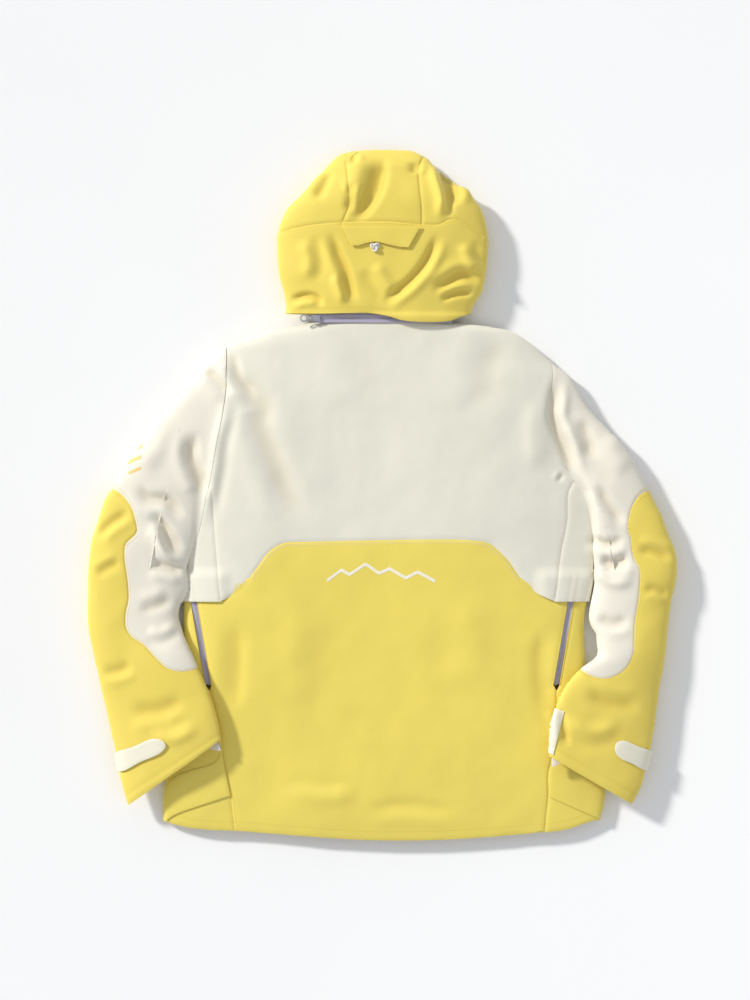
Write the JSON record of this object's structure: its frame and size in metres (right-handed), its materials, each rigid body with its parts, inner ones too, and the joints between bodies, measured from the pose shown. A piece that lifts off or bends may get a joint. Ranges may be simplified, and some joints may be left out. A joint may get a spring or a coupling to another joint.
{
  "type": "ski jacket",
  "caption": "Insulated ski jacket with a zip-off hood, two-tone sleeves, cuff tabs and side vent zips, lying flat with its back up.",
  "frame": {"origin": "middle of the outline, on the surface that the jacket lies on", "axes": "+Y from hem to hood, +Z out of the jacket's back, +X to the right seen from above"},
  "size_m": [0.88, 1.035, 0.0532],
  "materials": {
    "cream_shell": "matte woven nylon",
    "sleeve_shell": "matte woven nylon",
    "yellow_shell": "matte woven nylon",
    "zip_tape": "woven tape",
    "lining": "soft tricot",
    "knit": "ribbed knit",
    "cord": "braided",
    "zip_metal": "satin plated"
  },
  "bodies": {
    "jacket_body": {"back_yoke": "cream_shell", "back_lower_panel": "yellow_shell", "side_panel_upper_right": "cream_shell", "side_panel_upper_left": "cream_shell", "side_panel_lower_right": "yellow_shell", "side_panel_lower_left": "yellow_shell", "front_yoke_right": "cream_shell", "front_yoke_left": "cream_shell", "front_chest_band_right": "yellow_shell", "front_chest_band_left": "yellow_shell", "front_panel_right": "yellow_shell", "front_panel_left": "yellow_shell", "vent_flap_right": "cream_shell", "vent_flap_left": "cream_shell", "hem_side_tab_right": "yellow_shell", "hem_side_tab_left": "yellow_shell", "wind_flap": "lining", "collar": "lining", "hanger_loop": "zip_tape", "front_zip_tape_right": "zip_tape", "front_zip_tape_left": "zip_tape", "hood_zip_upper_tape": "zip_tape", "hood_zip_lower_tape": "zip_tape", "vent_zip_tape_right": "zip_tape", "vent_zip_tape_left": "zip_tape"},
    "hood": {"hood_lower_panel": "yellow_shell", "hood_side_panel_right": "yellow_shell", "hood_side_panel_left": "yellow_shell", "hood_center_panel": "yellow_shell", "hood_face_hem": "lining", "hood_rear_flap": "yellow_shell", "hood_cord": "cord", "hood_cord_knot": "cord", "hood_cord_eyelet": "zip_metal"},
    "hood_zip_slider": {"hood_zip_slider": "zip_metal"},
    "hood_zip_pull": {"hood_zip_pull": "zip_metal"},
    "front_zip_slider": {"front_zip_slider": "zip_metal"},
    "front_zip_pull": {"front_zip_pull": "zip_metal"},
    "vent_zip_slider_right": {"vent_zip_slider_right": "zip_metal", "vent_zip_pull_right": "zip_metal"},
    "vent_zip_slider_left": {"vent_zip_slider_left": "zip_metal", "vent_zip_pull_left": "zip_metal"},
    "cuff_tab_right": {"cuff_tab_right": "cream_shell"},
    "cuff_tab_left": {"cuff_tab_left": "cream_shell"},
    "sleeve_right": {"sleeve_upper_right": "sleeve_shell", "forearm_panel_right": "yellow_shell", "wrist_gaiter_right": "knit", "cuff_loop_patch_right": "sleeve_shell", "cuff_side_strap_right": "sleeve_shell"},
    "sleeve_left": {"sleeve_upper_left": "sleeve_shell", "forearm_panel_left": "yellow_shell", "wrist_gaiter_left": "knit", "cuff_loop_patch_left": "sleeve_shell", "cuff_side_strap_left": "sleeve_shell"}
  },
  "joints": [
    {"name": "hood_fold", "type": "hinge", "parent": "jacket_body", "child": "hood", "pos_m": [0, 0.2721, 0.046], "axis": [1, 0, 0], "range_deg": [0, 165]},
    {"name": "shoulder_right", "type": "hinge", "parent": "jacket_body", "child": "sleeve_right", "pos_m": [0.242, 0.212, 0.02], "axis": [0, 0, 1], "range_deg": [0, 50]},
    {"name": "shoulder_left", "type": "hinge", "parent": "jacket_body", "child": "sleeve_left", "pos_m": [-0.242, 0.212, 0.02], "axis": [0, 0, -1], "range_deg": [0, 50]},
    {"name": "hood_zip_slide", "type": "slide", "parent": "jacket_body", "child": "hood_zip_slider", "axis": [1, 0, 0], "range_m": [0, 0.19]},
    {"name": "hood_zip_pull_tilt", "type": "hinge", "parent": "hood_zip_slider", "child": "hood_zip_pull", "pos_m": [-0.1069, 0.2652, 0.0438], "axis": [0, 1, 0], "range_deg": [0, 178]},
    {"name": "front_zip_slide", "type": "slide", "parent": "jacket_body", "child": "front_zip_slider", "axis": [0, -1, 0], "range_m": [0, 0.7]},
    {"name": "front_zip_pull_tilt", "type": "hinge", "parent": "front_zip_slider", "child": "front_zip_pull", "pos_m": [0, 0.2336, 0.0022], "axis": [1, 0, 0], "range_deg": [0, 120]},
    {"name": "vent_zip_slide_right", "type": "slide", "parent": "jacket_body", "child": "vent_zip_slider_right", "axis": [-0.1721, -0.9851, 0], "range_m": [0, 0.12]},
    {"name": "vent_zip_slide_left", "type": "slide", "parent": "jacket_body", "child": "vent_zip_slider_left", "axis": [0.1721, -0.9851, 0], "range_m": [0, 0.12]},
    {"name": "cuff_tab_peel_right", "type": "hinge", "parent": "sleeve_right", "child": "cuff_tab_right", "pos_m": [0.39654, -0.39883, 0.02628], "axis": [0.2272, 0.9739, 0], "range_deg": [0, 120]},
    {"name": "cuff_tab_peel_left", "type": "hinge", "parent": "sleeve_left", "child": "cuff_tab_left", "pos_m": [-0.39654, -0.39883, 0.02628], "axis": [0.2272, -0.9739, 0], "range_deg": [0, 120]}
  ]
}
